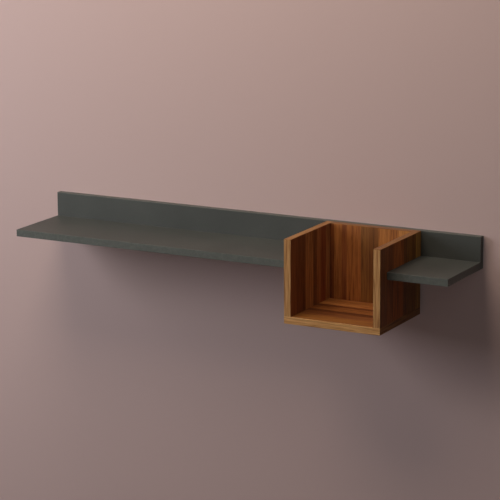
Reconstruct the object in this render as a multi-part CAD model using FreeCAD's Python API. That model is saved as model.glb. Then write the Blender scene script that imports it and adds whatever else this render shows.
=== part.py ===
import FreeCAD, Part
import math
import os

# Wall shelf: a rail and two shelf boards in anthracite, with an open walnut box set between the two boards.
# Sizes are in millimetres. +X runs along the rail to the right, +Y into the wall and +Z up.
# The origin is the centre of the rail's back face, which lies on the wall plane Y = 0.

# Boards, finished sizes with their edge bands
board_thickness = 18.0
rail_height = 80.0
left_shelf_length = 790.0
right_shelf_length = 156.0
shelf_depth = 195.0
box_width = 254.0
box_depth = 232.0
box_height = 208.0

# Edge bands
band_thickness = 1.0
band_edge_radius = 0.5
band_radius_limit_share = 0.9

# Room around screws, dowels, plates and plugs in their seats
fit_clearance = 0.05
tip_clearance = 1.0

# Overrun of cuts past the faces they open, and the slack when an edge is looked up by its place
cut_overrun = 2.0
place_tolerance = 0.001

# One-piece connector screws, driven in one stepped drilling through both boards
connector_length = 50.0
connector_head_diameter = 10.0
connector_head_height = 3.0
connector_head_sink = 0.3
connector_shoulder_diameter = 7.0
connector_shoulder_length = 14.0
connector_core_diameter = 5.0
connector_point_length = 4.0
connector_point_diameter = 2.0
connector_socket_width = 4.0
connector_socket_depth = 4.0

# Caps that plug the screw heads under the box
cap_diameter = 13.0
cap_thickness = 1.6
cap_rim_height = 0.7
cap_stem_length = 3.0

# Beech dowels
dowel_diameter = 8.0
dowel_length = 30.0
dowel_chamfer = 1.0
dowel_face_depth = 11.0

# Countersunk chipboard screws through the rail into the box back
back_screw_diameter = 4.0
back_screw_head_diameter = 8.0
back_screw_length = 30.0

# Countersunk screws of the hanger plates
hanger_screw_diameter = 3.5
hanger_screw_head_diameter = 7.0
hanger_screw_length = 14.0

# Shape of every countersunk screw: the head's height is a share of the step from head to shank,
# the point's length a share of the shank, and the cross recess shares of the head
countersunk_head_height_share = 0.5
point_length_share = 1.2
cross_span_share = 0.6
cross_width_share = 0.14
cross_depth_share = 0.18

# Keyhole hanger plates let into the back of the rail
hanger_width = 60.0
hanger_height = 32.0
hanger_thickness = 2.0
hanger_corner_radius = 6.0
hanger_end_inset = 90.0
hanger_top_drop = 26.0
hanger_screw_spacing = 44.0
hanger_pocket_margin = 1.5
hanger_pocket_depth = 10.0
keyhole_entry_diameter = 10.0
keyhole_slot_width = 5.0
keyhole_rise = 9.0

# Places of the fasteners
left_shelf_screw_count = 4
left_shelf_screw_inset = 60.0
right_shelf_screw_count = 2
right_shelf_screw_inset = 36.0
shelf_end_dowel_count = 2
shelf_end_dowel_inset = 50.0
side_screw_count = 2
side_screw_inset = 20.0
back_screw_count = 2
back_screw_inset = 49.0
back_dowel_rise = 40.0
bottom_screw_count = 2
bottom_screw_inset = 40.0

# Levels and faces that the boards share
rail_length = left_shelf_length + box_width + right_shelf_length
rail_left = -rail_length / 2
rail_right = rail_length / 2
rail_top = rail_height / 2
rail_bottom = -rail_height / 2
wall_plane = 0.0
rail_front = wall_plane - board_thickness
rail_middle = (rail_top + rail_bottom) / 2
shelf_top = rail_bottom + board_thickness
shelf_middle = (shelf_top + rail_bottom) / 2
shelf_front = rail_front - shelf_depth
box_left = rail_left + left_shelf_length
box_right = box_left + box_width
box_inner_left = box_left + board_thickness
box_inner_right = box_right - board_thickness
box_underside = rail_top - box_height
box_floor = box_underside + board_thickness
box_front = rail_front - box_depth
box_back_front = rail_front - board_thickness
box_back_middle = (rail_front + box_back_front) / 2
left_side_middle = (box_left + box_inner_left) / 2
right_side_middle = (box_right + box_inner_right) / 2

Vector = FreeCAD.Vector
RIGHT = Vector(1, 0, 0)
LEFT = Vector(-1, 0, 0)
TO_ROOM = Vector(0, -1, 0)
UP = Vector(0, 0, 1)
ALONG_X, ALONG_Y, ALONG_Z = range(3)

nodes = {}


def revolved(profile):
    """Solid turned about the Z axis from an outline of (radius, height) points."""
    points = [Vector(radius, 0, height) for radius, height in profile]
    face = Part.Face(Part.makePolygon(points + points[:1]))
    return face.revolve(Vector(0, 0, 0), UP, 360)


def hexagon_prism(width, low, high):
    """Upright hexagonal prism, given its width across flats and its two levels."""
    radius = width / math.sqrt(3)
    corners = [Vector(radius, 0, low)]
    for turn in range(60, 361, 60):
        angle = math.radians(turn)
        corners.append(Vector(radius * math.cos(angle), radius * math.sin(angle), low))
    return Part.Face(Part.makePolygon(corners)).extrude(UP * (high - low))


def set_at(shape, point, direction):
    """Copy of a shape modelled along +Z, set with its origin at a point and its axis along a direction."""
    placed = shape.copy()
    placed.Placement = FreeCAD.Placement(point, FreeCAD.Rotation(UP, direction))
    return placed


def spread(start, end, inset, count):
    """Evenly spaced places between two ends, the outer ones an inset from each end."""
    step = (end - start) / abs(end - start)
    first = start + step * inset
    last = end - step * inset
    return [first + (last - first) * index / (count - 1) for index in range(count)]


def between(places):
    """Middle of each gap in a row of places."""
    return [(a + b) / 2 for a, b in zip(places, places[1:])]


# Boards and edge bands

def outward_edges(shape, axis, face_level, length_axis):
    """Edges of a box that lie in its outer face and run along its length."""
    found = []
    for edge in shape.Edges:
        start, end = (vertex.Point for vertex in edge.Vertexes)
        in_face = all(abs(point[axis] - face_level) < place_tolerance for point in (start, end))
        if in_face and abs(start[length_axis] - end[length_axis]) > place_tolerance:
            found.append(edge)
    return found


def box_between(low, high):
    """Box between two opposite corners."""
    return Part.makeBox(high[0] - low[0], high[1] - low[1], high[2] - low[2], Vector(*low))


def banded_board(name, low, high, bands):
    """Board with its edge bands, taken from the finished block in the order that the bands cover each other.

    Each band is (its node name, the axis it faces, +1 or -1 for the end of that axis).
    """
    low = list(low)
    high = list(high)
    edge_radius = min(band_edge_radius, band_thickness * band_radius_limit_share)
    for band_name, axis, way in bands:
        band_low = list(low)
        band_high = list(high)
        if way > 0:
            high[axis] -= band_thickness
            band_low[axis] = high[axis]
            face_level = band_high[axis]
        else:
            low[axis] += band_thickness
            band_high[axis] = low[axis]
            face_level = band_low[axis]
        spans = [band_high[i] - band_low[i] if i != axis else 0 for i in range(3)]
        strip = box_between(band_low, band_high)
        edges = outward_edges(strip, axis, face_level, spans.index(max(spans)))
        nodes[band_name] = strip.makeFillet(edge_radius, edges)
    nodes[name] = box_between(low, high)


banded_board(
    "back_rail",
    (rail_left, rail_front, rail_bottom),
    (rail_right, wall_plane, rail_top),
    [
        ("rail_top_band", ALONG_Z, 1),
        ("rail_bottom_band", ALONG_Z, -1),
        ("rail_left_end_band", ALONG_X, -1),
        ("rail_right_end_band", ALONG_X, 1),
    ],
)
banded_board(
    "left_shelf",
    (rail_left, shelf_front, rail_bottom),
    (box_left, rail_front, shelf_top),
    [("left_shelf_front_band", ALONG_Y, -1), ("left_shelf_end_band", ALONG_X, -1)],
)
banded_board(
    "right_shelf",
    (box_right, shelf_front, rail_bottom),
    (rail_right, rail_front, shelf_top),
    [("right_shelf_front_band", ALONG_Y, -1), ("right_shelf_end_band", ALONG_X, 1)],
)
banded_board(
    "box_left_side",
    (box_left, box_front, box_floor),
    (box_inner_left, rail_front, rail_top),
    [("left_side_top_band", ALONG_Z, 1), ("left_side_front_band", ALONG_Y, -1)],
)
banded_board(
    "box_right_side",
    (box_inner_right, box_front, box_floor),
    (box_right, rail_front, rail_top),
    [("right_side_top_band", ALONG_Z, 1), ("right_side_front_band", ALONG_Y, -1)],
)
banded_board(
    "box_back",
    (box_inner_left, box_back_front, box_floor),
    (box_inner_right, rail_front, rail_top),
    [("box_back_top_band", ALONG_Z, 1)],
)
banded_board(
    "box_bottom",
    (box_left, box_front, box_underside),
    (box_right, rail_front, box_floor),
    [
        ("box_bottom_front_band", ALONG_Y, -1),
        ("box_bottom_left_band", ALONG_X, -1),
        ("box_bottom_right_band", ALONG_X, 1),
    ],
)


# Fasteners, each modelled along +Z in the direction it is driven

def connector_screw():
    """Connector screw with its countersunk head, shoulder, thread core and point, and its hexagon socket."""
    shoulder = connector_shoulder_diameter / 2
    core = connector_core_diameter / 2
    body = revolved([
        (0, 0),
        (connector_head_diameter / 2, 0),
        (shoulder, connector_head_height),
        (shoulder, connector_shoulder_length),
        (core, connector_shoulder_length + shoulder - core),
        (core, connector_length - connector_point_length),
        (connector_point_diameter / 2, connector_length),
        (0, connector_length),
    ])
    socket = hexagon_prism(connector_socket_width, -cut_overrun, connector_socket_depth)
    return body.cut(socket).translated(UP * connector_head_sink)


def connector_drilling():
    """Stepped drilling for a connector screw, whose head cone is the screw's own."""
    head = connector_head_diameter / 2
    shoulder = connector_shoulder_diameter / 2
    core = connector_core_diameter / 2
    cone_share = (head - shoulder - fit_clearance) / (head - shoulder)
    hole = revolved([
        (0, -cut_overrun),
        (head, -cut_overrun),
        (head, 0),
        (shoulder + fit_clearance, connector_head_height * cone_share),
        (shoulder + fit_clearance, connector_shoulder_length + shoulder - core),
        (core + fit_clearance, connector_shoulder_length + shoulder - core),
        (core + fit_clearance, connector_length + tip_clearance),
        (0, connector_length + tip_clearance),
    ])
    return hole.translated(UP * connector_head_sink)


def screw_cap():
    """Domed cap with a hexagon stem that plugs a connector screw's socket."""
    radius = cap_diameter / 2
    dome_height = cap_thickness - cap_rim_height
    dome_radius = (radius ** 2 + dome_height ** 2) / (2 * dome_height)
    halfway = radius / 2
    halfway_sag = dome_radius - math.sqrt(dome_radius ** 2 - halfway ** 2)
    rim = Vector(radius, 0, -cap_rim_height)
    crown = Vector(0, 0, -cap_thickness)
    outline = Part.Wire([
        Part.makeLine(Vector(0, 0, 0), Vector(radius, 0, 0)),
        Part.makeLine(Vector(radius, 0, 0), rim),
        Part.Arc(rim, Vector(halfway, 0, halfway_sag - cap_thickness), crown).toShape(),
        Part.makeLine(crown, Vector(0, 0, 0)),
    ])
    dome = Part.Face(outline).revolve(Vector(0, 0, 0), UP, 360)
    stem = hexagon_prism(connector_socket_width - 2 * fit_clearance, 0, cap_stem_length)
    return dome.fuse(stem).removeSplitter()


def dowel():
    """Dowel with chamfered ends, its origin at the joint between the two boards."""
    radius = dowel_diameter / 2
    end = dowel_length - dowel_face_depth
    return revolved([
        (0, -dowel_face_depth),
        (radius - dowel_chamfer, -dowel_face_depth),
        (radius, -dowel_face_depth + dowel_chamfer),
        (radius, end - dowel_chamfer),
        (radius - dowel_chamfer, end),
        (0, end),
    ])


def dowel_drilling():
    """Blind hole for a dowel in both boards."""
    depth = dowel_length + 2 * tip_clearance
    radius = dowel_diameter / 2 + fit_clearance
    return Part.makeCylinder(radius, depth, Vector(0, 0, -dowel_face_depth - tip_clearance))


def countersunk_screw(diameter, head_diameter, length):
    """Countersunk screw with a plain shank and a cross recess."""
    head_height = (head_diameter - diameter) * countersunk_head_height_share
    point = diameter * point_length_share
    body = revolved([
        (0, 0),
        (head_diameter / 2, 0),
        (diameter / 2, head_height),
        (diameter / 2, length - point),
        (0, length),
    ])
    span = head_diameter * cross_span_share
    width = head_diameter * cross_width_share
    depth = head_diameter * cross_depth_share
    for size_x, size_y in ((span, width), (width, span)):
        corner = Vector(-size_x / 2, -size_y / 2, -cut_overrun)
        body = body.cut(Part.makeBox(size_x, size_y, depth + cut_overrun, corner))
    return body


def countersunk_drilling(diameter, head_diameter, length):
    """Pilot hole and countersink for a countersunk screw."""
    head_height = (head_diameter - diameter) * countersunk_head_height_share
    cone_share = (head_diameter - diameter - 2 * fit_clearance) / (head_diameter - diameter)
    radius = diameter / 2 + fit_clearance
    return revolved([
        (0, -cut_overrun),
        (head_diameter / 2, -cut_overrun),
        (head_diameter / 2, 0),
        (radius, head_height * cone_share),
        (radius, length + tip_clearance),
        (0, length + tip_clearance),
    ])


def fasten(name, piece, drilling, places, direction, pieces_drilled):
    """Set a fastener at each place and drill the pieces that it passes through or into."""
    nodes[name] = Part.makeCompound([set_at(piece, place, direction) for place in places])
    for place in places:
        hole = set_at(drilling, place, direction)
        for drilled in pieces_drilled:
            nodes[drilled] = nodes[drilled].cut(hole)


# Rail to shelves
left_screw_places = spread(rail_left, box_left, left_shelf_screw_inset, left_shelf_screw_count)
right_screw_places = spread(box_right, rail_right, right_shelf_screw_inset, right_shelf_screw_count)
for shelf, screws, dowels, places in (
    ("left_shelf", "rail_to_left_shelf_screws", "left_shelf_rail_dowels", left_screw_places),
    ("right_shelf", "rail_to_right_shelf_screws", "right_shelf_rail_dowel", right_screw_places),
):
    screw_points = [Vector(x, wall_plane, shelf_middle) for x in places]
    dowel_points = [Vector(x, rail_front, shelf_middle) for x in between(places)]
    fasten(screws, connector_screw(), connector_drilling(), screw_points, TO_ROOM, ["back_rail", shelf])
    fasten(dowels, dowel(), dowel_drilling(), dowel_points, TO_ROOM, ["back_rail", shelf])

# Shelves to box sides
end_dowel_places = spread(rail_front, shelf_front, shelf_end_dowel_inset, shelf_end_dowel_count)
for shelf, side, dowels, joint, direction in (
    ("left_shelf", "box_left_side", "left_shelf_box_dowels", box_left, LEFT),
    ("right_shelf", "box_right_side", "right_shelf_box_dowels", box_right, RIGHT),
):
    points = [Vector(joint, y, shelf_middle) for y in end_dowel_places]
    fasten(dowels, dowel(), dowel_drilling(), points, direction, [side, shelf])

# Rail to box sides and box back
side_middles = (left_side_middle, right_side_middle)
side_screw_levels = spread(rail_bottom, rail_top, side_screw_inset, side_screw_count)
side_points = [Vector(x, wall_plane, z) for x in side_middles for z in side_screw_levels]
fasten(
    "rail_to_box_side_screws", connector_screw(), connector_drilling(), side_points, TO_ROOM,
    ["back_rail", "box_left_side", "box_right_side"],
)
back_screw_places = spread(box_inner_left, box_inner_right, back_screw_inset, back_screw_count)
back_screw_sizes = (back_screw_diameter, back_screw_head_diameter, back_screw_length)
fasten(
    "rail_to_box_back_screws",
    countersunk_screw(*back_screw_sizes),
    countersunk_drilling(*back_screw_sizes),
    [Vector(x, wall_plane, rail_middle) for x in back_screw_places],
    TO_ROOM,
    ["back_rail", "box_back"],
)

# Box back to box sides
back_dowel_levels = (rail_middle, box_floor + back_dowel_rise)
for side, dowels, joint, direction in (
    ("box_left_side", "box_back_left_dowels", box_inner_left, RIGHT),
    ("box_right_side", "box_back_right_dowels", box_inner_right, LEFT),
):
    points = [Vector(joint, box_back_middle, z) for z in back_dowel_levels]
    fasten(dowels, dowel(), dowel_drilling(), points, direction, [side, "box_back"])

# Box bottom to box sides and box back
bottom_screw_places = spread(rail_front, box_front, bottom_screw_inset, bottom_screw_count)
bottom_points = [Vector(x, y, box_underside) for x in side_middles for y in bottom_screw_places]
bottom_points += [Vector(x, box_back_middle, box_underside) for x in back_screw_places]
fasten(
    "box_bottom_screws", connector_screw(), connector_drilling(), bottom_points, UP,
    ["box_bottom", "box_left_side", "box_right_side", "box_back"],
)
caps = [set_at(screw_cap(), point, UP) for point in bottom_points]
nodes["box_bottom_screw_caps"] = Part.makeCompound(caps)
fasten(
    "box_bottom_dowels", dowel(), dowel_drilling(),
    [Vector(x, y, box_floor) for x in side_middles for y in between(bottom_screw_places)], UP,
    ["box_bottom", "box_left_side", "box_right_side"],
)


# Keyhole hangers

def upright_slot(radius, x, entry, seat, near, far):
    """Slot with round ends between two levels, cut along Y from the near face to the far one."""
    depth = near - far
    slot = Part.makeBox(2 * radius, depth, seat - entry, Vector(x - radius, far, entry))
    for level in (entry, seat):
        slot = slot.fuse(Part.makeCylinder(radius, depth, Vector(x, far, level), -TO_ROOM))
    return slot


def rounded_plate(x, level, width, height, radius, near, far):
    """Upright plate with round corners, centred on x and a level, between two faces along Y."""
    corner = Vector(x - width / 2, far, level - height / 2)
    plate = Part.makeBox(width, near - far, height, corner)
    corner_edges = [
        edge for edge in plate.Edges if abs(edge.Vertexes[0].Y - edge.Vertexes[1].Y) > place_tolerance
    ]
    return plate.makeFillet(radius, corner_edges)


def fit_hanger(plate_name, screws_name, x):
    """Let a keyhole plate into the rail, with a pocket behind its keyhole, and screw it on."""
    level = rail_top - hanger_top_drop
    entry = level - keyhole_rise / 2
    seat = level + keyhole_rise / 2
    inner_face = wall_plane - hanger_thickness
    open_side = wall_plane + cut_overrun
    plate = rounded_plate(
        x, level, hanger_width, hanger_height, hanger_corner_radius, wall_plane, inner_face,
    )
    hole = Part.makeCylinder(
        keyhole_entry_diameter / 2, hanger_thickness + 2 * cut_overrun,
        Vector(x, inner_face - cut_overrun, entry), -TO_ROOM,
    )
    slot = upright_slot(keyhole_slot_width / 2, x, entry, seat, open_side, inner_face - cut_overrun)
    nodes[plate_name] = plate.cut(hole).cut(slot)
    recess = rounded_plate(
        x, level, hanger_width + 2 * fit_clearance, hanger_height + 2 * fit_clearance,
        hanger_corner_radius + fit_clearance, open_side, inner_face,
    )
    pocket_radius = keyhole_entry_diameter / 2 + hanger_pocket_margin
    pocket = upright_slot(pocket_radius, x, entry, seat, open_side, inner_face - hanger_pocket_depth)
    nodes["back_rail"] = nodes["back_rail"].cut(recess).cut(pocket)
    sizes = (hanger_screw_diameter, hanger_screw_head_diameter, hanger_screw_length)
    half = hanger_screw_spacing / 2
    points = [Vector(x - half, wall_plane, level), Vector(x + half, wall_plane, level)]
    fasten(
        screws_name, countersunk_screw(*sizes), countersunk_drilling(*sizes), points, TO_ROOM,
        [plate_name, "back_rail"],
    )


fit_hanger("left_hanger_plate", "left_hanger_screws", rail_left + hanger_end_inset)
fit_hanger("right_hanger_plate", "right_hanger_screws", rail_right - hanger_end_inset)

os.makedirs("parts", exist_ok=True)
for name, shape in nodes.items():
    shape.exportStep(os.path.join("parts", name + ".step"))
    print(name, len(shape.Solids), round(shape.Volume), shape.isValid())
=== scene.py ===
"""Dressed view of a wall shelf: anthracite rail and shelf boards with an open walnut box between them."""

import logging
import math
from collections.abc import Callable, Sequence
from dataclasses import dataclass, field
from enum import Enum
from typing import Any, NamedTuple

import bmesh
import bpy
from mathutils import Matrix, Vector


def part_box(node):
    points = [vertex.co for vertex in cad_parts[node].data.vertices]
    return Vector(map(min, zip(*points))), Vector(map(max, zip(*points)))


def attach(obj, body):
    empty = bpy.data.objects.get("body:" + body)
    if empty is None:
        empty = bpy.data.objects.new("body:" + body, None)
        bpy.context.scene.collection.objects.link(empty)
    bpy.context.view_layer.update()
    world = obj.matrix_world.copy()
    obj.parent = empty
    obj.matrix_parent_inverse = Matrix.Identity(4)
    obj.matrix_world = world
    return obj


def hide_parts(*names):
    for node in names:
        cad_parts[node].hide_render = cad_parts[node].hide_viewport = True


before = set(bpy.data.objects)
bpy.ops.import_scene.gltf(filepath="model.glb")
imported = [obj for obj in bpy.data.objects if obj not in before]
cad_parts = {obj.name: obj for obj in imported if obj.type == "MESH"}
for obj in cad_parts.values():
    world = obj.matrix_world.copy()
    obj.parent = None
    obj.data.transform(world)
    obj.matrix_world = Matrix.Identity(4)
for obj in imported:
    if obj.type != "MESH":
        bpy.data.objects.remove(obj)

log = logging.getLogger("wall_shelf")

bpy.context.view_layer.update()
MM = 0.001
BODY = "root"

# Hex colours, each with its place on a colour ramp or the width of its stave in millimetres.
Shades = tuple[tuple[float, str], ...]


class Axis(Enum):
    """Axis of the shelf's frame: X along the rail, Y into the wall, Z up."""

    X = 0
    Y = 1
    Z = 2


class Way(Enum):
    """Direction in which a fastener is driven."""

    TO_ROOM = (0.0, -1.0, 0.0)
    UP = (0.0, 0.0, 1.0)
    LEFT = (-1.0, 0.0, 0.0)
    RIGHT = (1.0, 0.0, 0.0)

    @property
    def axis(self) -> Axis:
        """Axis that the direction runs along."""
        return next(axis for axis in Axis if self.value[axis.value])


class Element(Enum):
    """Kind of mesh element that is selected in edit mode."""

    VERT = "verts"
    EDGE = "edges"
    FACE = "faces"


class Drive(Enum):
    """Recess in a screw's head."""

    HEXAGON = "hexagon"
    CROSS = "cross"


class Joining(Enum):
    """What a tool does to a piece, as the Boolean modifier names it."""

    ADD = "UNION"
    CUT = "DIFFERENCE"


class BandPrintWithPaintedShade(Enum):
    """Wood print of an edge band, from its dark grain lines to its palest wood, in tones that carry painted
    light and shade.
    """

    # Painted light and shade: one print, paler for the front bands that face the lamps and darker for the top
    # and end bands.
    PALE = ("#643e1d", "#9f6d3d", "#bf8e59", "#d5a671")
    GOLD = ("#6c4521", "#ac7843", "#cf9b62", "#e6b67b")
    WARM = ("#673d1c", "#8f5c2d", "#a7723d", "#b6854e")
    DARK = ("#562f12", "#784920", "#8c5b2c", "#996a3a")


# Materials


# Octaves of a noise pattern.
SOFT, FINE, RICH = 1.0, 2.0, 3.0
# Noise values at which a mottle is darkest and lightest.
MOTTLE_ENDS = (0.3, 0.7)


def linear(colour: str) -> tuple[float, float, float, float]:
    """Turn an sRGB hex value to a linear colour.

    Args:
        colour: The colour as "#rrggbb".

    Returns:
        Linear red, green and blue, with an alpha of 1.
    """
    parts = [int(colour[i:i + 2], 16) / 255 for i in (1, 3, 5)]
    red, green, blue = (p / 12.92 if p <= 0.04045 else ((p + 0.055) / 1.055) ** 2.4 for p in parts)
    return red, green, blue, 1.0


def add_node(
    tree: bpy.types.NodeTree,
    kind: str,
    inputs: dict[str | int, Any] | None = None,
    stops: Sequence[tuple[float, str]] = (),
    **settings: Any,
) -> bpy.types.Node:
    """Add a shader node with its settings, constants and links.

    Args:
        tree: The node tree that gets the node.
        kind: The node's type name without "ShaderNode".
        inputs: For each input, by name or number, a constant or the output that feeds it.
        stops: Places and hex colours of a colour ramp.
        **settings: Properties of the node.

    Returns:
        The new node.
    """
    node = tree.nodes.new("ShaderNode" + kind)
    for name, value in settings.items():
        setattr(node, name, value)
    for key, value in (inputs or {}).items():
        if isinstance(value, bpy.types.NodeSocket):
            tree.links.new(value, node.inputs[key])
        else:
            node.inputs[key].default_value = value
    if stops:
        elements = node.color_ramp.elements
        while len(elements) < len(stops):
            elements.new(1.0)
        for element, (place, colour) in zip(elements, stops):
            element.position = place
            element.color = linear(colour)
    return node


class Layer(NamedTuple):
    """Sockets of one material layer."""

    colour: bpy.types.NodeSocket
    roughness: bpy.types.NodeSocket
    height: bpy.types.NodeSocket


def start_material(name: str) -> tuple[bpy.types.Material, bpy.types.NodeTree, bpy.types.NodeSocket]:
    """Make an empty node material.

    Args:
        name: The material's name.

    Returns:
        The material, its node tree and its Object coordinates.
    """
    material = bpy.data.materials.new(name)
    material.use_nodes = True
    tree = material.node_tree
    tree.nodes.clear()
    return material, tree, add_node(tree, "TexCoord").outputs["Object"]


def close_material(tree: bpy.types.NodeTree, layer: Layer, relief: float, **shader: Any) -> None:
    """Lead a layer to the surface.

    Args:
        tree: The material's node tree.
        layer: The finished layer.
        relief: Height of the bump in metres.
        **shader: Constants of the shader, by input name with underscores for spaces.
    """
    bump = add_node(tree, "Bump", {"Height": layer.height, "Distance": relief, "Strength": 1.0})
    inputs = {name.replace("_", " "): value for name, value in shader.items()}
    inputs |= {"Base Color": layer.colour, "Roughness": layer.roughness, "Normal": bump.outputs["Normal"]}
    surface = add_node(tree, "BsdfPrincipled", inputs)
    add_node(tree, "OutputMaterial", {"Surface": surface.outputs["BSDF"]})


def blend_layers(tree: bpy.types.NodeTree, share: bpy.types.NodeSocket, under: Layer, over: Layer) -> Layer:
    """Lay one layer over another.

    Args:
        tree: The material's node tree.
        share: Share of the upper layer, 0 to 1.
        under: The lower layer.
        over: The upper layer.

    Returns:
        The blended layer.
    """
    shades = {0: share, 6: under.colour, 7: over.colour}
    colour = add_node(tree, "Mix", shades, data_type="RGBA").outputs[2]
    roughness = add_node(tree, "Mix", {0: share, 2: under.roughness, 3: over.roughness}).outputs[0]
    height = add_node(tree, "Mix", {0: share, 2: under.height, 3: over.height}).outputs[0]
    return Layer(colour, roughness, height)


def lengthened(axis: Axis, stretch: float) -> list[float]:
    """Give a pattern's scale along each axis.

    Args:
        axis: The axis that the pattern is drawn out along.
        stretch: How many times longer the pattern is along that axis.

    Returns:
        The scale along X, Y and Z.
    """
    scale = [1.0, 1.0, 1.0]
    scale[axis.value] = 1 / stretch
    return scale


def mottled_layer(
    tree: bpy.types.NodeTree,
    place: bpy.types.NodeSocket,
    grit: float,
    colours: tuple[str, str],
    roughness: tuple[float, float],
) -> Layer:
    """Build a layer of soft mottle between two shades.

    Args:
        tree: The material's node tree.
        place: Object coordinates.
        grit: Size of the mottle in metres.
        colours: The dark and the light shade.
        roughness: Roughness of the dark and of the light places.

    Returns:
        The mottled layer.
    """
    mottle = add_node(tree, "TexNoise", {"Vector": place, "Scale": 1 / grit, "Detail": RICH}).outputs[0]
    colour = add_node(tree, "ValToRGB", {"Fac": mottle}, stops=list(zip(MOTTLE_ENDS, colours)))
    gloss = add_node(tree, "MapRange", {"Value": mottle, "To Min": roughness[0], "To Max": roughness[1]})
    return Layer(colour.outputs["Color"], gloss.outputs[0], mottle)


@dataclass(frozen=True)
class Chipboard:
    """Pressed wood chips, sawn: pale flat flakes with dark gaps, coarse and dull."""

    shades: Shades = ((0.0, "#8d6a41"), (0.25, "#b08a58"), (0.7, "#c9a673"), (1.0, "#d9bd8f"))
    chip: float = 2.6 * MM
    chip_reach: float = 0.8
    stretch: float = 2.5
    roughness: tuple[float, float] = (0.82, 0.9)

    def layer(self, tree: bpy.types.NodeTree, place: bpy.types.NodeSocket) -> Layer:
        """Build the layer.

        Args:
            tree: The material's node tree.
            place: Object coordinates.

        Returns:
            The chipboard's layer.
        """
        flat = (1 / self.stretch, 1 / self.stretch, 1.0)
        lying = add_node(tree, "Mapping", {"Vector": place, "Scale": flat})
        chips = add_node(tree, "TexVoronoi", {"Vector": lying.outputs[0], "Scale": 1 / self.chip})
        tone = add_node(tree, "SeparateColor", {"Color": chips.outputs["Color"]})
        colour = add_node(tree, "ValToRGB", {"Fac": tone.outputs[0]}, stops=self.shades)
        height = add_node(
            tree, "MapRange",
            {"Value": chips.outputs["Distance"], "From Max": self.chip_reach, "To Min": 1.0, "To Max": 0.0},
        )
        low, high = self.roughness
        roughness = add_node(tree, "MapRange", {"Value": tone.outputs[1], "To Min": low, "To Max": high})
        return Layer(colour.outputs["Color"], roughness.outputs[0], height.outputs[0])


@dataclass(frozen=True)
class AnthraciteMelamine:
    """Melamine paper, pressed with a fine pearl grain: an even dark grey, matt, with a faint soft sheen."""

    shades: Shades = ((0.3, "#3e3f3b"), (0.5, "#464743"), (0.7, "#4f504b"))
    # A real pearl grain is about 0.3 mm; it is drawn coarser so that it shows.
    pearl: float = 1.1 * MM
    pearl_share: float = 0.45
    cloud: float = 140.0 * MM
    roughness: tuple[float, float] = (0.46, 0.56)

    def layer(self, tree: bpy.types.NodeTree, place: bpy.types.NodeSocket) -> Layer:
        """Build the layer.

        Args:
            tree: The material's node tree.
            place: Object coordinates.

        Returns:
            The melamine's layer.
        """
        pearl = add_node(tree, "TexNoise", {"Vector": place, "Scale": 1 / self.pearl, "Detail": FINE})
        cloud = add_node(tree, "TexNoise", {"Vector": place, "Scale": 1 / self.cloud, "Detail": RICH})
        tone = add_node(tree, "Mix", {0: self.pearl_share, 2: cloud.outputs[0], 3: pearl.outputs[0]})
        colour = add_node(tree, "ValToRGB", {"Fac": tone.outputs[0]}, stops=self.shades)
        low, high = self.roughness
        roughness = add_node(tree, "MapRange", {"Value": cloud.outputs[0], "To Min": low, "To Max": high})
        return Layer(colour.outputs["Color"], roughness.outputs[0], pearl.outputs[0])


@dataclass(frozen=True)
class WalnutMelamine:
    """Melamine paper with a stave walnut print: strips of different browns, each with its own long grain."""

    grain: Axis
    across: Axis
    start: float
    staves: Shades
    shading: Shades = ((0.3, "#806a59"), (0.41, "#bdab98"), (0.52, "#ece2d2"), (0.64, "#fffaf0"))
    figure: float = 16.0 * MM
    figure_waviness: float = 1.2
    figure_share: float = 0.3
    streak: float = 6.0 * MM
    streak_waviness: float = 0.6
    # Real pores are under 0.5 mm wide; the fibres are drawn coarser so that they show.
    fibre: float = 2.2 * MM
    fibre_share: float = 0.42
    stretch: float = 16.0
    # How far the patterns of staves of different colours lie from each other.
    apart: float = 40.0
    roughness: tuple[float, float] = (0.56, 0.42)

    def layer(self, tree: bpy.types.NodeTree, place: bpy.types.NodeSocket) -> Layer:
        """Build the layer.

        Args:
            tree: The material's node tree.
            place: Object coordinates.

        Returns:
            The walnut print's layer.
        """
        width = sum(stave for stave, _ in self.staves) * MM
        across = add_node(tree, "SeparateXYZ", {"Vector": place}).outputs[self.across.value]
        share = add_node(
            tree, "MapRange", {"Value": across, "From Min": self.start, "From Max": self.start + width},
        )
        stops, edge = [], 0.0
        for stave, tone in self.staves:
            stops.append((edge / width, tone))
            edge += stave * MM
        staves = add_node(tree, "ValToRGB", {"Fac": share.outputs[0]}, stops=stops)
        staves.color_ramp.interpolation = "CONSTANT"
        along = add_node(tree, "Mapping", {"Vector": place, "Scale": lengthened(self.grain, self.stretch)})
        own = add_node(
            tree, "VectorMath", {0: staves.outputs["Color"], 1: (self.apart,) * 3, 2: along.outputs[0]},
            operation="MULTIPLY_ADD",
        ).outputs[0]
        figure, streaks, fibres = (
            add_node(
                tree, "TexNoise",
                {"Vector": own, "Scale": 1 / size, "Detail": detail, "Distortion": waviness},
            ).outputs[0]
            for size, detail, waviness in (
                (self.figure, SOFT, self.figure_waviness),
                (self.streak, RICH, self.streak_waviness),
                (self.fibre, FINE, 0.0),
            )
        )
        lines = add_node(tree, "Mix", {0: self.fibre_share, 2: streaks, 3: fibres})
        grain = add_node(tree, "Mix", {0: self.figure_share, 2: lines.outputs[0], 3: figure})
        shade = add_node(tree, "ValToRGB", {"Fac": grain.outputs[0]}, stops=self.shading)
        colour = add_node(
            tree, "Mix", {0: 1.0, 6: staves.outputs["Color"], 7: shade.outputs["Color"]},
            data_type="RGBA", blend_type="MULTIPLY",
        )
        low, high = self.roughness
        roughness = add_node(tree, "MapRange", {"Value": fibres, "To Min": low, "To Max": high})
        return Layer(colour.outputs[2], roughness.outputs[0], fibres)


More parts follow.
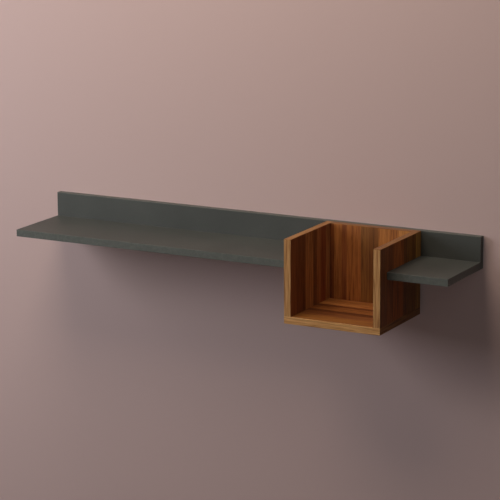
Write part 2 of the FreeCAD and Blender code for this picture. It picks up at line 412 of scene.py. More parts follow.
@dataclass(frozen=True)
class FacedBoard:
    """Chipboard between two melamine faces: the core shows at sawn edges and in drillings."""

    face: AnthraciteMelamine | WalnutMelamine
    through: Axis
    core: Chipboard = field(default_factory=Chipboard)
    paper: float = 0.25 * MM
    relief: float = 0.06 * MM
    specular: float = 0.35

    def build(self, name: str, node: str) -> bpy.types.Material:
        """Build the material for one board.

        Args:
            name: The material's name.
            node: The board's node, whose thickness places the two faces.

        Returns:
            The board's material.
        """
        low, high = (corner[self.through.value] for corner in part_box(node))
        material, tree, place = start_material(name)
        depth = add_node(tree, "SeparateXYZ", {"Vector": place}).outputs[self.through.value]
        off_middle = add_node(tree, "Math", {0: depth, 1: (low + high) / 2}, operation="SUBTRACT")
        from_middle = add_node(tree, "Math", {0: off_middle.outputs[0]}, operation="ABSOLUTE")
        faced = add_node(
            tree, "Math", {0: from_middle.outputs[0], 1: (high - low) / 2 - self.paper},
            operation="GREATER_THAN",
        )
        core, face = self.core.layer(tree, place), self.face.layer(tree, place)
        layer = blend_layers(tree, faced.outputs[0], core, face)
        close_material(tree, layer, self.relief, Specular_IOR_Level=self.specular)
        return material


@dataclass(frozen=True)
class AnthraciteBand:
    """ABS edge band, extruded and buffed: the board's grey a shade lighter, with a low satin gloss."""

    colours: tuple[str, str] = ("#51534e", "#5d5f59")
    mottle: float = 6.0 * MM
    roughness: tuple[float, float] = (0.36, 0.5)
    relief: float = 0.03 * MM
    specular: float = 0.3

    def build(self) -> bpy.types.Material:
        """Build the material.

        Returns:
            The bands' material.
        """
        material, tree, place = start_material("anthracite_abs_band")
        layer = mottled_layer(tree, place, self.mottle, self.colours, self.roughness)
        close_material(tree, layer, self.relief, Specular_IOR_Level=self.specular)
        return material


@dataclass(frozen=True)
class WalnutBand:
    """ABS edge band with a printed wood grain: brown, with darker grain lines along the strip."""

    grain: Axis
    seed: float
    # Tone of the print, with painted light and shade for the band's place on the box.
    shades: BandPrintWithPaintedShade
    shade_places: tuple[float, ...] = (0.3, 0.42, 0.55, 0.72)
    line: float = 3.0 * MM
    line_waviness: float = 0.6
    # Real pores are under 0.5 mm wide; the fibres are drawn coarser so that they show.
    fibre: float = 1.5 * MM
    fibre_share: float = 0.35
    stretch: float = 30.0
    roughness: tuple[float, float] = (0.38, 0.52)
    relief: float = 0.04 * MM
    specular: float = 0.3

    def build(self, name: str) -> bpy.types.Material:
        """Build the material for one band.

        Args:
            name: The material's name.

        Returns:
            The band's material.
        """
        material, tree, place = start_material(name)
        along = add_node(
            tree, "Mapping",
            {"Vector": place, "Scale": lengthened(self.grain, self.stretch), "Location": (self.seed,) * 3},
        ).outputs[0]
        lines, fibres = (
            add_node(
                tree, "TexNoise",
                {"Vector": along, "Scale": 1 / size, "Detail": FINE, "Distortion": waviness},
            ).outputs[0]
            for size, waviness in ((self.line, self.line_waviness), (self.fibre, 0.0))
        )
        tone = add_node(tree, "Mix", {0: self.fibre_share, 2: lines, 3: fibres})
        stops = list(zip(self.shade_places, self.shades.value))
        colour = add_node(tree, "ValToRGB", {"Fac": tone.outputs[0]}, stops=stops)
        low, high = self.roughness
        roughness = add_node(tree, "MapRange", {"Value": fibres, "To Min": low, "To Max": high})
        layer = Layer(colour.outputs["Color"], roughness.outputs[0], fibres)
        close_material(tree, layer, self.relief, Specular_IOR_Level=self.specular)
        return material


@dataclass(frozen=True)
class ZincSteel:
    """Steel, pressed or turned and zinc plated: bright blue-grey metal with a faint crystal mottle."""

    colours: tuple[str, str] = ("#a9adb0", "#c9cccc")
    mottle: float = 1.8 * MM
    roughness: tuple[float, float] = (0.28, 0.46)
    relief: float = 0.02 * MM

    def build(self, name: str) -> bpy.types.Material:
        """Build the material.

        Args:
            name: The material's name.

        Returns:
            The plated steel.
        """
        material, tree, place = start_material(name)
        layer = mottled_layer(tree, place, self.mottle, self.colours, self.roughness)
        close_material(tree, layer, self.relief, Metallic=1.0)
        return material


@dataclass(frozen=True)
class Beech:
    """Raw beech, turned: pale pinkish wood with short dark flecks along the grain."""

    grain: Axis
    shades: Shades = ((0.3, "#9c6f45"), (0.42, "#c99d6c"), (0.7, "#dbb587"))
    fleck: float = 0.6 * MM
    stretch: float = 7.0
    roughness: tuple[float, float] = (0.78, 0.62)
    relief: float = 0.05 * MM

    def build(self) -> bpy.types.Material:
        """Build the material.

        Returns:
            The dowels' material.
        """
        material, tree, place = start_material("raw_beech_" + self.grain.name.lower())
        along = add_node(tree, "Mapping", {"Vector": place, "Scale": lengthened(self.grain, self.stretch)})
        flecks = add_node(
            tree, "TexNoise", {"Vector": along.outputs[0], "Scale": 1 / self.fleck, "Detail": FINE},
        ).outputs[0]
        colour = add_node(tree, "ValToRGB", {"Fac": flecks}, stops=self.shades)
        low, high = self.roughness
        roughness = add_node(tree, "MapRange", {"Value": flecks, "To Min": low, "To Max": high})
        layer = Layer(colour.outputs["Color"], roughness.outputs[0], flecks)
        close_material(tree, layer, self.relief)
        return material


@dataclass(frozen=True)
class BrownCap:
    """Polypropylene, moulded with a fine spark grain: warm brown with a soft low gloss."""

    colours: tuple[str, str] = ("#5a3a22", "#6b4629")
    spark: float = 0.7 * MM
    roughness: tuple[float, float] = (0.4, 0.55)
    relief: float = 0.03 * MM

    def build(self) -> bpy.types.Material:
        """Build the material.

        Returns:
            The caps' material.
        """
        material, tree, place = start_material("brown_polypropylene")
        layer = mottled_layer(tree, place, self.spark, self.colours, self.roughness)
        close_material(tree, layer, self.relief)
        return material


def dress(name: str, material: bpy.types.Material) -> None:
    """Put a material on a node's or piece's object.

    Args:
        name: The object's name.
        material: The finished material.
    """
    slots = bpy.data.objects[name].data.materials
    slots.clear()
    slots.append(material)
    log.info("dressed %s in %s", name, material.name)


# Modelling


# Least part of an end face's normal that runs along the piece's axis.
FACING = 0.9
# Distances within which points are welded, and within which a point counts as cut.
WELD = 0.001 * MM
CUT_SLACK = 0.0001 * MM


def is_top(middle: Vector, normal: Vector) -> bool:
    """Tell whether a face looks along +Z."""
    return normal.z > FACING


def is_foot(middle: Vector, normal: Vector) -> bool:
    """Tell whether a face looks along -Z."""
    return normal.z < -FACING


def pick(piece: bpy.types.Object, element: Element, wanted: Callable[[Vector, Vector], bool]) -> None:
    """Select elements of a piece in edit mode by their place and normal.

    Args:
        piece: The object in edit mode.
        element: The kind of element.
        wanted: Tells from an element's middle and its normal whether it is selected; an edge has no normal.
    """
    bpy.ops.mesh.select_mode(type=element.name)
    bpy.ops.mesh.select_all(action="DESELECT")
    mesh = bmesh.from_edit_mesh(piece.data)
    for part in getattr(mesh, element.value):
        points = [part] if element is Element.VERT else part.verts
        middle = sum((point.co for point in points), Vector()) / len(points)
        if wanted(middle, getattr(part, "normal", Vector())):
            part.select_set(True)
    mesh.select_flush_mode()
    bmesh.update_edit_mesh(piece.data)


def grow(
    piece: bpy.types.Object,
    wanted: Callable[[Vector, Vector], bool],
    rings: Sequence[tuple[float, float]],
) -> None:
    """Extrude an end of a piece along Z, ring by ring.

    Args:
        piece: The piece, whose axis is Z.
        wanted: Tells from a face's middle and its normal whether it belongs to the end.
        rings: The rise and the scale of each ring.
    """
    bpy.ops.object.mode_set(mode="EDIT")
    pick(piece, Element.FACE, wanted)
    for rise, scale in rings:
        bpy.ops.mesh.extrude_region_move(TRANSFORM_OT_translate={"value": (0, 0, rise)})
        bpy.ops.transform.resize(value=(scale, scale, 1), center_override=(0, 0, 0))
    bpy.ops.object.mode_set(mode="OBJECT")


def combine(piece: bpy.types.Object, tool: bpy.types.Object, joining: Joining) -> None:
    """Join a tool to a piece or cut it from the piece.

    Args:
        piece: The piece that stays.
        tool: The object that is used up.
        joining: Whether the tool is added or cut.
    """
    bpy.ops.object.select_all(action="DESELECT")
    piece.select_set(True)
    bpy.context.view_layer.objects.active = piece
    modifier = piece.modifiers.new("combine", "BOOLEAN")
    modifier.operation = joining.value
    modifier.object = tool
    bpy.ops.object.modifier_apply(modifier=modifier.name)
    bpy.data.objects.remove(tool)


def close_mesh(piece: bpy.types.Object, crease: float) -> None:
    """Merge doubles, turn the faces outwards and smooth the soft edges.

    Args:
        piece: The active object.
        crease: Angle in degrees above which an edge stays sharp.
    """
    bpy.ops.object.mode_set(mode="EDIT")
    bpy.ops.mesh.select_all(action="SELECT")
    bpy.ops.mesh.remove_doubles(threshold=WELD)
    bpy.ops.mesh.normals_make_consistent(inside=False)
    bpy.ops.object.mode_set(mode="OBJECT")
    bpy.ops.object.shade_smooth_by_angle(angle=math.radians(crease))


def new_primitive(add: Callable[..., Any], **settings: Any) -> bpy.types.Object:
    """Add a primitive with its place and turn in its mesh.

    Args:
        add: The primitive's operator.
        **settings: The operator's settings.

    Returns:
        The new object, active and alone in the selection.
    """
    bpy.ops.object.select_all(action="DESELECT")
    add(**settings)
    bpy.ops.object.transform_apply(location=True, rotation=True, scale=True)
    return bpy.context.object


@dataclass(frozen=True)
class Screw:
    """Screw with a countersunk head, a shank, a thread and a point, modelled along +Z from its head."""

    length: float
    head_width: float
    head_height: float
    shank_width: float
    shank_end: float
    thread_width: float
    core_width: float
    pitch: float
    point_length: float
    point_width: float
    drive: Drive
    drive_width: float
    drive_depth: float
    blade: float = 0.0
    sunk: float = 0.0
    rim: float = 0.2 * MM
    rim_segments: int = 2
    overlap: float = 0.5 * MM
    # Parts of one pitch that make up the thread's profile.
    root_share: float = 0.42
    flank_share: float = 0.26
    crest_share: float = 0.06
    # Turns wound before the thread starts, and turns to spare over both ends.
    run_in: float = 1.5
    spare_turns: int = 3
    thread_steps: int = 24
    # Rise, in drive widths, and scale of the rings of a socket's floor.
    socket_rings: tuple[tuple[float, float], ...] = ((0.1, 0.8), (0.15, 0.2))
    blade_taper: float = 0.55
    sides: int = 48
    crease: float = 32.0

    def form_head(self) -> bpy.types.Object:
        """Form the head and the plain shank.

        Returns:
            The head with its shank.
        """
        head = new_primitive(
            bpy.ops.mesh.primitive_cone_add, vertices=self.sides, radius1=self.head_width / 2,
            radius2=self.shank_width / 2, depth=self.head_height, location=(0, 0, self.head_height / 2),
        )
        grow(head, is_top, [(self.shank_end - self.head_height, 1.0)])
        bpy.ops.object.mode_set(mode="EDIT")
        pick(head, Element.EDGE, lambda middle, normal: middle.z < self.rim)
        bpy.ops.mesh.bevel(offset=self.rim, segments=self.rim_segments, affect="EDGES")
        bpy.ops.object.mode_set(mode="OBJECT")
        return head

    def wind_thread(self) -> bpy.types.Object:
        """Wind the thread from its profile, trim it at both ends and draw out its point.

        Returns:
            The threaded rod with its point.
        """
        start = self.shank_end - self.overlap
        end = self.length - self.point_length
        rod = new_primitive(
            bpy.ops.mesh.primitive_plane_add, size=self.rim,
            location=(self.core_width / 2, 0, start - self.run_in * self.pitch),
        )
        flight = (self.thread_width - self.core_width) / 2
        bpy.ops.object.mode_set(mode="EDIT")
        bpy.ops.mesh.select_mode(type="VERT")
        bpy.ops.mesh.select_all(action="SELECT")
        bpy.ops.mesh.merge(type="CENTER")
        for out, share in (
            (0, self.root_share),
            (flight, self.flank_share),
            (0, self.crest_share),
            (-flight, self.flank_share),
        ):
            step = (out, 0, share * self.pitch)
            bpy.ops.mesh.extrude_region_move(TRANSFORM_OT_translate={"value": step})
        bpy.ops.object.mode_set(mode="OBJECT")
        winding = rod.modifiers.new("winding", "SCREW")
        winding.screw_offset = self.pitch
        winding.iterations = math.ceil((end - start) / self.pitch) + self.spare_turns
        winding.steps = winding.render_steps = self.thread_steps
        winding.use_merge_vertices = True
        winding.merge_threshold = WELD
        bpy.ops.object.modifier_apply(modifier=winding.name)
        bpy.ops.object.mode_set(mode="EDIT")
        for level, way in ((start, -1), (end, 1)):
            bpy.ops.mesh.select_all(action="SELECT")
            bpy.ops.mesh.bisect(
                plane_co=(0, 0, level), plane_no=(0, 0, way), use_fill=True, clear_outer=True,
                threshold=CUT_SLACK,
            )
        bpy.ops.object.mode_set(mode="OBJECT")
        close_mesh(rod, self.crease)
        grow(
            rod, lambda middle, normal: is_top(middle, normal) and middle.z > end - self.rim,
            [(self.point_length, self.point_width / self.core_width)],
        )
        return rod

    def form_bits(self) -> list[bpy.types.Object]:
        """Form the tools that leave the recess in the head.

        Returns:
            The tools, each a solid of its own.
        """
        width, depth = self.drive_width, self.drive_depth
        if self.drive is Drive.HEXAGON:
            bit = new_primitive(
                bpy.ops.mesh.primitive_cylinder_add, vertices=6, radius=width / math.sqrt(3),
                depth=2 * depth, rotation=(0, 0, math.pi / 2),
            )
            grow(bit, is_top, [(rise * width, scale) for rise, scale in self.socket_rings])
            return [bit]
        bits = []
        for sizes in ((width, self.blade), (self.blade, width)):
            bit = new_primitive(bpy.ops.mesh.primitive_cube_add, size=1.0, scale=(*sizes, 2 * depth))
            bpy.ops.object.mode_set(mode="EDIT")
            pick(bit, Element.FACE, is_top)
            taper = (self.blade_taper, self.blade_taper, 1)
            bpy.ops.transform.resize(value=taper, center_override=(0, 0, 0))
            bpy.ops.object.mode_set(mode="OBJECT")
            bits.append(bit)
        return bits

    def build(self) -> bpy.types.Object:
        """Build one screw.

        Returns:
            The finished screw, to be copied.
        """
        screw = self.form_head()
        combine(screw, self.wind_thread(), Joining.ADD)
        for bit in self.form_bits():
            combine(screw, bit, Joining.CUT)
        close_mesh(screw, self.crease)
        return screw


@dataclass(frozen=True)
class Dowel:
    """Fluted dowel with chamfered ends, modelled along +Z with the joint of two boards at its origin."""

    width: float = 8.0 * MM
    length: float = 30.0 * MM
    face_depth: float = 11.0 * MM
    chamfer: float = 1.0 * MM
    flutes: int = 24
    points_per_flute: int = 3
    flute_depth: float = 0.35 * MM
    crease: float = 25.0

    def build(self) -> bpy.types.Object:
        """Build one dowel.

        Returns:
            The finished dowel, to be copied.
        """
        points = self.points_per_flute * self.flutes
        dowel = new_primitive(
            bpy.ops.mesh.primitive_cylinder_add, vertices=points, radius=self.width / 2,
            depth=self.length - 2 * self.chamfer, location=(0, 0, self.length / 2 - self.face_depth),
        )
        step = 2 * math.pi / points

        def in_flute(middle: Vector, normal: Vector) -> bool:
            """Tell whether a point lies at the bottom of a flute."""
            return round(math.atan2(middle.y, middle.x) / step) % self.points_per_flute == 0

        depth = 1 - self.flute_depth / (self.width / 2)
        bpy.ops.object.mode_set(mode="EDIT")
        pick(dowel, Element.VERT, in_flute)
        bpy.ops.transform.resize(value=(depth, depth, 1), center_override=(0, 0, 0))
        bpy.ops.object.mode_set(mode="OBJECT")
        end = 1 - self.chamfer / (self.width / 2)
        grow(dowel, is_top, [(self.chamfer, end)])
        grow(dowel, is_foot, [(-self.chamfer, end)])
        close_mesh(dowel, self.crease)
        return dowel


# Sub-assemblies


@dataclass
class GreyBoards:
    """Rail and the two shelf boards, with their bands."""

    boards: dict[str, Axis] = field(default_factory=lambda: {
        "back_rail": Axis.Y, "left_shelf": Axis.Z, "right_shelf": Axis.Z,
    })
    bands: tuple[str, ...] = (
        "rail_top_band", "rail_bottom_band", "rail_left_end_band", "rail_right_end_band",
        "left_shelf_front_band", "left_shelf_end_band", "right_shelf_front_band", "right_shelf_end_band",
    )

    def build(self) -> None:
        """Dress the boards and their bands."""
        for board, through in self.boards.items():
            finish = FacedBoard(AnthraciteMelamine(), through)
            dress(board, finish.build("anthracite_melamine_" + board, board))
        banding = AnthraciteBand().build()
        for band in self.bands:
            dress(band, banding)


class WalnutCut(NamedTuple):
    """Axes through a walnut board, along its grain and across its staves, and its staves from the low end;
    the right side's and the bottom's stave tones also carry painted light and shade.
    """

    through: Axis
    grain: Axis
    across: Axis
    staves: Shades


@dataclass
class WalnutBox:
    """Open box: two sides, a back and a bottom, with their bands and the caps under the bottom."""

    boards: dict[str, WalnutCut] = field(default_factory=lambda: {
        "box_left_side": WalnutCut(Axis.X, Axis.Z, Axis.Y, (
            (32, "#945934"), (46, "#85502e"), (41, "#c58c56"), (20, "#8b5b37"), (23, "#b1784a"),
            (26, "#995937"), (22, "#b58554"), (22, "#90613d"),
        )),
        # The right side's staves are the print's tones, partly darkened as painted shade on the side that
        # faces away from the lamps.
        "box_right_side": WalnutCut(Axis.X, Axis.Z, Axis.Y, (
            (38, "#82491d"), (34, "#935122"), (58, "#c26d2f"), (21, "#79461a"), (26, "#9b652a"),
            (24, "#875320"), (31, "#c08a44"),
        )),
        "box_back": WalnutCut(Axis.Y, Axis.Z, Axis.X, (
            (11, "#8e5128"), (20, "#b6763f"), (14, "#91532b"), (38, "#b06e38"), (22, "#8e5e2e"),
            (26, "#835222"), (30, "#bc7c40"), (24, "#ad6f36"), (33, "#c4894d"),
        )),
        # The bottom's staves run from the front: their own tones, with the rear staves lightened and the
        # front ones darkened as painted light against the shade at the back of the box.
        "box_bottom": WalnutCut(Axis.Z, Axis.X, Axis.Y, (
            (44, "#986330"), (36, "#8a542c"), (20, "#673817"), (34, "#996031"), (16, "#77421e"),
            (26, "#bb7c45"), (32, "#ac6f39"), (23, "#824a21"),
        )),
    })
    # Each band's tone is painted light and shade: pale on the front bands, darker on the top and end bands,
    # darkest on the right and at the back.
    bands: dict[str, WalnutBand] = field(default_factory=lambda: {
        "left_side_top_band": WalnutBand(Axis.Y, 0.7, BandPrintWithPaintedShade.WARM),
        "left_side_front_band": WalnutBand(Axis.Z, 1.9, BandPrintWithPaintedShade.PALE),
        "right_side_top_band": WalnutBand(Axis.Y, 2.3, BandPrintWithPaintedShade.DARK),
        "right_side_front_band": WalnutBand(Axis.Z, 3.1, BandPrintWithPaintedShade.PALE),
        "box_back_top_band": WalnutBand(Axis.X, 4.7, BandPrintWithPaintedShade.DARK),
        "box_bottom_front_band": WalnutBand(Axis.X, 5.2, BandPrintWithPaintedShade.GOLD),
        "box_bottom_left_band": WalnutBand(Axis.Y, 6.6, BandPrintWithPaintedShade.WARM),
        "box_bottom_right_band": WalnutBand(Axis.Y, 7.4, BandPrintWithPaintedShade.DARK),
    })
    caps: str = "box_bottom_screw_caps"

    def build(self) -> None:
        """Dress the boards, their bands and the caps."""
        for board, cut in self.boards.items():
            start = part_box(board)[0][cut.across.value]
            face = WalnutMelamine(cut.grain, cut.across, start, cut.staves)
            dress(board, FacedBoard(face, cut.through).build("walnut_melamine_" + board, board))
        for band, finish in self.bands.items():
            dress(band, finish.build("walnut_abs_band_" + band))
        dress(self.caps, BrownCap().build())


# Places of the joints in millimetres, from the middle of the rail's back.
RAIL_BACK, RAIL_FRONT = 0, -18
SHELF_MIDDLE = -31
LEFT_SIDE_OUTSIDE, LEFT_SIDE_MIDDLE, LEFT_SIDE_INSIDE = 190, 199, 208
RIGHT_SIDE_INSIDE, RIGHT_SIDE_MIDDLE, RIGHT_SIDE_OUTSIDE = 426, 435, 444
BOX_BACK_MIDDLE = -27
BOX_BOTTOM_TOP, BOX_BOTTOM_UNDERSIDE = -150, -168


@dataclass(frozen=True)
class Seat:
    """Node of a group of fasteners, the way they are driven, and where each starts in millimetres."""

    node: str
    way: Way
    places: tuple[tuple[float, float, float], ...]

    def fill(
        self, model: bpy.types.Object, slot: str, material: bpy.types.Material, sunk: float = 0.0,
    ) -> None:
        """Set a copy of a fastener at each place.

        Args:
            model: The fastener, modelled along +Z.
            slot: The record's material slot; not used.
            material: The fastener's finish.
            sunk: How far it sits below its place.
        """
        turn = Vector((0, 0, 1)).rotation_difference(Vector(self.way.value)).to_matrix().to_4x4()
        for number, place in enumerate(self.places, 1):
            bpy.ops.object.select_all(action="DESELECT")
            model.select_set(True)
            bpy.context.view_layer.objects.active = model
            bpy.ops.object.duplicate()
            piece = bpy.context.object
            piece.name = piece.data.name = f"{self.node.rstrip('s')}_{number}"
            to_place = Matrix.Translation(Vector(place) * MM)
            piece.matrix_world = to_place @ turn @ Matrix.Translation((0, 0, sunk))
            bpy.ops.object.transform_apply(location=True, rotation=True, scale=True)
            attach(piece, BODY)
            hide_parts(self.node)
            dress(piece.name, material)


@dataclass
class Fasteners:
    """Screws and dowels that hold the boards together, and the keyhole hangers."""

    connector: Screw = Screw(
        length=50 * MM, head_width=10 * MM, head_height=3 * MM, shank_width=7 * MM, shank_end=14 * MM,
        thread_width=6.8 * MM, core_width=4.6 * MM, pitch=3.2 * MM, point_length=4 * MM,
        point_width=2 * MM, drive=Drive.HEXAGON, drive_width=4 * MM, drive_depth=4 * MM, sunk=0.3 * MM,
    )
    back_screw: Screw = Screw(
        length=30 * MM, head_width=8 * MM, head_height=2.4 * MM, shank_width=3.2 * MM, shank_end=6 * MM,
        thread_width=4 * MM, core_width=2.5 * MM, pitch=1.8 * MM, point_length=4.8 * MM,
        point_width=0.3 * MM, drive=Drive.CROSS, drive_width=4.8 * MM, drive_depth=1.6 * MM,
        blade=1.12 * MM, sunk=0.05 * MM,
    )
    hanger_screw: Screw = Screw(
        length=14 * MM, head_width=7 * MM, head_height=2.1 * MM, shank_width=2.8 * MM, shank_end=3.4 * MM,
        thread_width=3.5 * MM, core_width=2.2 * MM, pitch=1.6 * MM, point_length=4.2 * MM,
        point_width=0.3 * MM, drive=Drive.CROSS, drive_width=4.2 * MM, drive_depth=1.4 * MM,
        blade=0.98 * MM, sunk=0.05 * MM,
    )
    dowel: Dowel = Dowel()
    plates: tuple[str, ...] = ("left_hanger_plate", "right_hanger_plate")
    connector_seats: tuple[Seat, ...] = (
        Seat("rail_to_left_shelf_screws", Way.TO_ROOM, tuple(
            (x, RAIL_BACK, SHELF_MIDDLE) for x in (-540, -950 / 3, -280 / 3, 130)
        )),
        Seat("rail_to_right_shelf_screws", Way.TO_ROOM, tuple(
            (x, RAIL_BACK, SHELF_MIDDLE) for x in (480, 564)
        )),
        Seat("rail_to_box_side_screws", Way.TO_ROOM, tuple(
            (x, RAIL_BACK, z) for x in (LEFT_SIDE_MIDDLE, RIGHT_SIDE_MIDDLE) for z in (-20, 20)
        )),
        Seat("box_bottom_screws", Way.UP, (
            (LEFT_SIDE_MIDDLE, -58, BOX_BOTTOM_UNDERSIDE),
            (LEFT_SIDE_MIDDLE, -210, BOX_BOTTOM_UNDERSIDE),
            (RIGHT_SIDE_MIDDLE, -58, BOX_BOTTOM_UNDERSIDE),
            (RIGHT_SIDE_MIDDLE, -210, BOX_BOTTOM_UNDERSIDE),
            (257, BOX_BACK_MIDDLE, BOX_BOTTOM_UNDERSIDE),
            (377, BOX_BACK_MIDDLE, BOX_BOTTOM_UNDERSIDE),
        )),
    )
    back_seats: tuple[Seat, ...] = (
        Seat("rail_to_box_back_screws", Way.TO_ROOM, tuple((x, RAIL_BACK, 0) for x in (257, 377))),
    )
    hanger_seats: tuple[Seat, ...] = (
        Seat("left_hanger_screws", Way.TO_ROOM, tuple((x, RAIL_BACK, 14) for x in (-532, -488))),
        Seat("right_hanger_screws", Way.TO_ROOM, tuple((x, RAIL_BACK, 14) for x in (488, 532))),
    )
    dowel_seats: tuple[Seat, ...] = (
        Seat("left_shelf_rail_dowels", Way.TO_ROOM, tuple(
            (x, RAIL_FRONT, SHELF_MIDDLE) for x in (-1285 / 3, -205, 55 / 3)
        )),
        Seat("right_shelf_rail_dowel", Way.TO_ROOM, ((522, RAIL_FRONT, SHELF_MIDDLE),)),
        Seat("left_shelf_box_dowels", Way.LEFT, tuple(
            (LEFT_SIDE_OUTSIDE, y, SHELF_MIDDLE) for y in (-68, -163)
        )),
        Seat("right_shelf_box_dowels", Way.RIGHT, tuple(
            (RIGHT_SIDE_OUTSIDE, y, SHELF_MIDDLE) for y in (-68, -163)
        )),
        Seat("box_back_left_dowels", Way.RIGHT, tuple(
            (LEFT_SIDE_INSIDE, BOX_BACK_MIDDLE, z) for z in (0, -110)
        )),
        Seat("box_back_right_dowels", Way.LEFT, tuple(
            (RIGHT_SIDE_INSIDE, BOX_BACK_MIDDLE, z) for z in (0, -110)
        )),
        Seat("box_bottom_dowels", Way.UP, tuple(
            (x, -134, BOX_BOTTOM_TOP) for x in (LEFT_SIDE_MIDDLE, RIGHT_SIDE_MIDDLE)
        )),
    )

    def set_screws(self) -> None:
        """Model each kind of screw and set its copies."""
        steel = ZincSteel().build("zinc_plated_screw_steel")
        for kind, seats in (
            (self.connector, self.connector_seats),
            (self.back_screw, self.back_seats),
            (self.hanger_screw, self.hanger_seats),
        ):
            model = kind.build()
            for seat in seats:
                seat.fill(model, "zinc_steel", steel, kind.sunk)
            bpy.data.objects.remove(model)

    def set_dowels(self) -> None:
        """Model a dowel and set its copies."""
        beeches = {axis: Beech(axis).build() for axis in Axis}
        model = self.dowel.build()
        for seat in self.dowel_seats:
            seat.fill(model, "beech", beeches[seat.way.axis])
        bpy.data.objects.remove(model)

    def build(self) -> None:
        """Set the screws and dowels, and dress the hanger plates."""
        self.set_screws()
        self.set_dowels()
        plating = ZincSteel().build("zinc_plated_hanger_steel")
        for plate in self.plates:
            dress(plate, plating)


# Studio


def seen_or_mirrored(tree: bpy.types.NodeTree) -> tuple[bpy.types.NodeSocket, bpy.types.NodeSocket]:
    """Tell which rays look at the stage.

    Args:
        tree: The node tree of a stage material or of the world.

    Returns:
        1 for the camera's own rays, and 1 for rays that were mirrored or refracted.
    """
    rays = add_node(tree, "LightPath").outputs
    mirrored = add_node(
        tree, "Math", {0: rays["Is Glossy Ray"], 1: rays["Is Transmission Ray"]}, operation="MAXIMUM",
    )
    return rays["Is Camera Ray"], mirrored.outputs[0]


@dataclass(frozen=True)
class StagePaint:
    """Matt paint of the stage: it looks pale, with some light of its own, and throws little light back."""

    colour: str
    glow: float
    bounce: str = "#6b5a56"

    def shader(self, tree: bpy.types.NodeTree) -> bpy.types.NodeSocket:
        """Build the paint.

        Args:
            tree: The material's node tree.

        Returns:
            The paint's shader.
        """
        scattered = add_node(tree, "LightPath").outputs["Is Diffuse Ray"]
        shade = add_node(
            tree, "Mix", {0: scattered, 6: linear(self.colour), 7: linear(self.bounce)}, data_type="RGBA",
        )
        paint = add_node(tree, "BsdfDiffuse", {"Color": shade.outputs[2]})
        light = add_node(tree, "Emission", {"Color": linear(self.colour)})
        seen, mirrored = seen_or_mirrored(tree)
        either = add_node(tree, "Math", {0: seen, 1: mirrored}, operation="MAXIMUM")
        share = add_node(tree, "Math", {0: either.outputs[0], 1: self.glow}, operation="MULTIPLY")
        glowing = add_node(tree, "MixShader", {0: share.outputs[0], 1: paint.outputs[0], 2: light.outputs[0]})
        return glowing.outputs[0]


@dataclass(frozen=True)
class Lamp:
    """Soft rectangular lamp that shines at the shelf."""

    name: str
    place: tuple[float, float, float]
    size: tuple[float, float]
    power: float
    colour: str = "#ffffff"

    def hang(self) -> None:
        """Hang the lamp."""
        bpy.ops.object.light_add(type="AREA", location=self.place)
        lamp = bpy.context.object
        lamp.name = self.name
        lamp.data.energy = self.power
        lamp.data.color = linear(self.colour)[:3]
        lamp.data.shape = "RECTANGLE"
        lamp.data.size, lamp.data.size_y = self.size
        lamp.rotation_euler = (-Vector(self.place)).to_track_quat("-Z", "Y").to_euler()


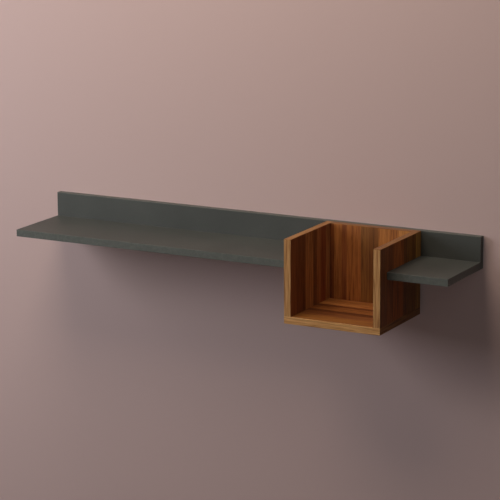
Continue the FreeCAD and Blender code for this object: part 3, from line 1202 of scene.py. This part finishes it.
@dataclass
class Studio:
    """Pale wall and floor, lamps and camera."""

    wall_gap: float = 0.6 * MM
    wall_size: float = 3.6
    floor_drop: float = 1.6
    floor_size: float = 80.0
    # A ray that starts this close to the wall passes it, and lamplight from further off, to light the back.
    touching: float = 2.0 * MM
    see_through: float = 19.2 * MM
    # Diffuse depth between a lamp's own light and light that was scattered before.
    scattered: float = 0.5
    wall_paint: StagePaint = StagePaint("#c9aea9", 0.05)
    floor_paint: StagePaint = StagePaint("#dcd8d4", 0.85)
    sky: str = "#fffdfb"
    backdrop: float = 0.72
    mirrored_backdrop: float = 0.4
    ambient: float = 0.05
    lamps: tuple[Lamp, ...] = (
        Lamp("key_lamp", (-0.2, -1.1, 2.3), (1.4, 1.4), 39.0, "#fff1df"),
        Lamp("side_lamp", (-2.2, -1.7, 0.9), (1.4, 1.4), 45.0, "#f2f8ff"),
        Lamp("far_lamp", (2.6, -1.0, 2.2), (1.6, 1.6), 5.0),
        Lamp("back_lamp", (0.317, 2.4, 0.0), (0.56, 0.06), 52.0),
    )
    focal: float = 168.3
    eye: tuple[float, float, float] = (2.6923, -5.0839, 1.2613)
    turn: float = 28.22
    tilt: float = 12.91
    roll: float = -0.308
    sensor: float = 36.0
    far_clip: float = 200.0

    def build_wall(self) -> None:
        """Stand a wall right behind the rail, seen from the room and clear from behind."""
        wall = new_primitive(
            bpy.ops.mesh.primitive_plane_add, size=self.wall_size, rotation=(math.pi / 2, 0, 0),
            location=(0, self.wall_gap, self.wall_size / 2 - self.floor_drop),
        )
        wall.name = "wall"
        material, tree, _ = start_material("painted_wall")
        rays = add_node(tree, "LightPath").outputs
        reach = add_node(tree, "Mix", {0: rays["Is Shadow Ray"], 2: self.touching, 3: self.see_through})
        near = add_node(tree, "Math", {0: rays["Ray Length"], 1: reach.outputs[0]}, operation="LESS_THAN")
        later = add_node(
            tree, "Math", {0: rays["Diffuse Depth"], 1: self.scattered}, operation="GREATER_THAN",
        )
        held = add_node(tree, "Math", {0: rays["Is Shadow Ray"], 1: later.outputs[0]}, operation="MULTIPLY")
        passed = add_node(
            tree, "Math", {0: near.outputs[0], 1: held.outputs[0]}, operation="SUBTRACT", use_clamp=True,
        )
        behind = add_node(tree, "NewGeometry").outputs["Backfacing"]
        unseen = add_node(tree, "Math", {0: behind, 1: passed.outputs[0]}, operation="MAXIMUM")
        clear = add_node(tree, "BsdfTransparent")
        paint = self.wall_paint.shader(tree)
        surface = add_node(tree, "MixShader", {0: unseen.outputs[0], 1: paint, 2: clear.outputs[0]})
        add_node(tree, "OutputMaterial", {"Surface": surface.outputs[0]})
        dress(wall.name, material)

    def build_floor(self) -> None:
        """Lay a pale floor below the shelf."""
        floor = new_primitive(
            bpy.ops.mesh.primitive_plane_add, size=self.floor_size, location=(0, 0, -self.floor_drop),
        )
        floor.name = "floor"
        material, tree, _ = start_material("painted_floor")
        add_node(tree, "OutputMaterial", {"Surface": self.floor_paint.shader(tree)})
        dress(floor.name, material)

    def light(self) -> None:
        """Hang the lamps and set up the world."""
        for lamp in self.lamps:
            lamp.hang()
        world = bpy.data.worlds.new("studio")
        bpy.context.scene.world = world
        world.use_nodes = True
        tree = world.node_tree
        tree.nodes.clear()
        seen, mirrored = seen_or_mirrored(tree)
        inside = add_node(tree, "Mix", {0: mirrored, 2: self.ambient, 3: self.mirrored_backdrop})
        strength = add_node(tree, "Mix", {0: seen, 2: inside.outputs[0], 3: self.backdrop})
        sky = add_node(tree, "Background", {"Strength": strength.outputs[0], "Color": linear(self.sky)})
        add_node(tree, "OutputWorld", {"Surface": sky.outputs[0]})

    def aim_camera(self) -> None:
        """Set the camera at the photograph's place."""
        bpy.ops.object.camera_add(location=self.eye)
        camera = bpy.context.object
        camera.name = "photo_camera"
        camera.data.sensor_width = self.sensor
        camera.data.lens = self.focal
        camera.data.clip_end = self.far_clip
        turn, tilt, roll = (math.radians(angle) for angle in (self.turn, self.tilt, self.roll))
        facing = Matrix.Rotation(turn, 3, "Z") @ Matrix.Rotation(math.pi / 2 - tilt, 3, "X")
        camera.rotation_euler = (facing @ Matrix.Rotation(roll, 3, "Z")).to_euler()
        bpy.context.scene.camera = camera

    def build(self) -> None:
        """Build the whole studio."""
        self.build_wall()
        self.build_floor()
        self.light()
        self.aim_camera()
        bpy.context.scene.view_settings.view_transform = "Standard"


def main() -> None:
    """Build the studio and dress the shelf."""
    logging.basicConfig(level=logging.INFO, format="%(name)s: %(message)s")
    Studio().build()
    GreyBoards().build()
    WalnutBox().build()
    Fasteners().build()


if __name__ == "__main__":
    main()
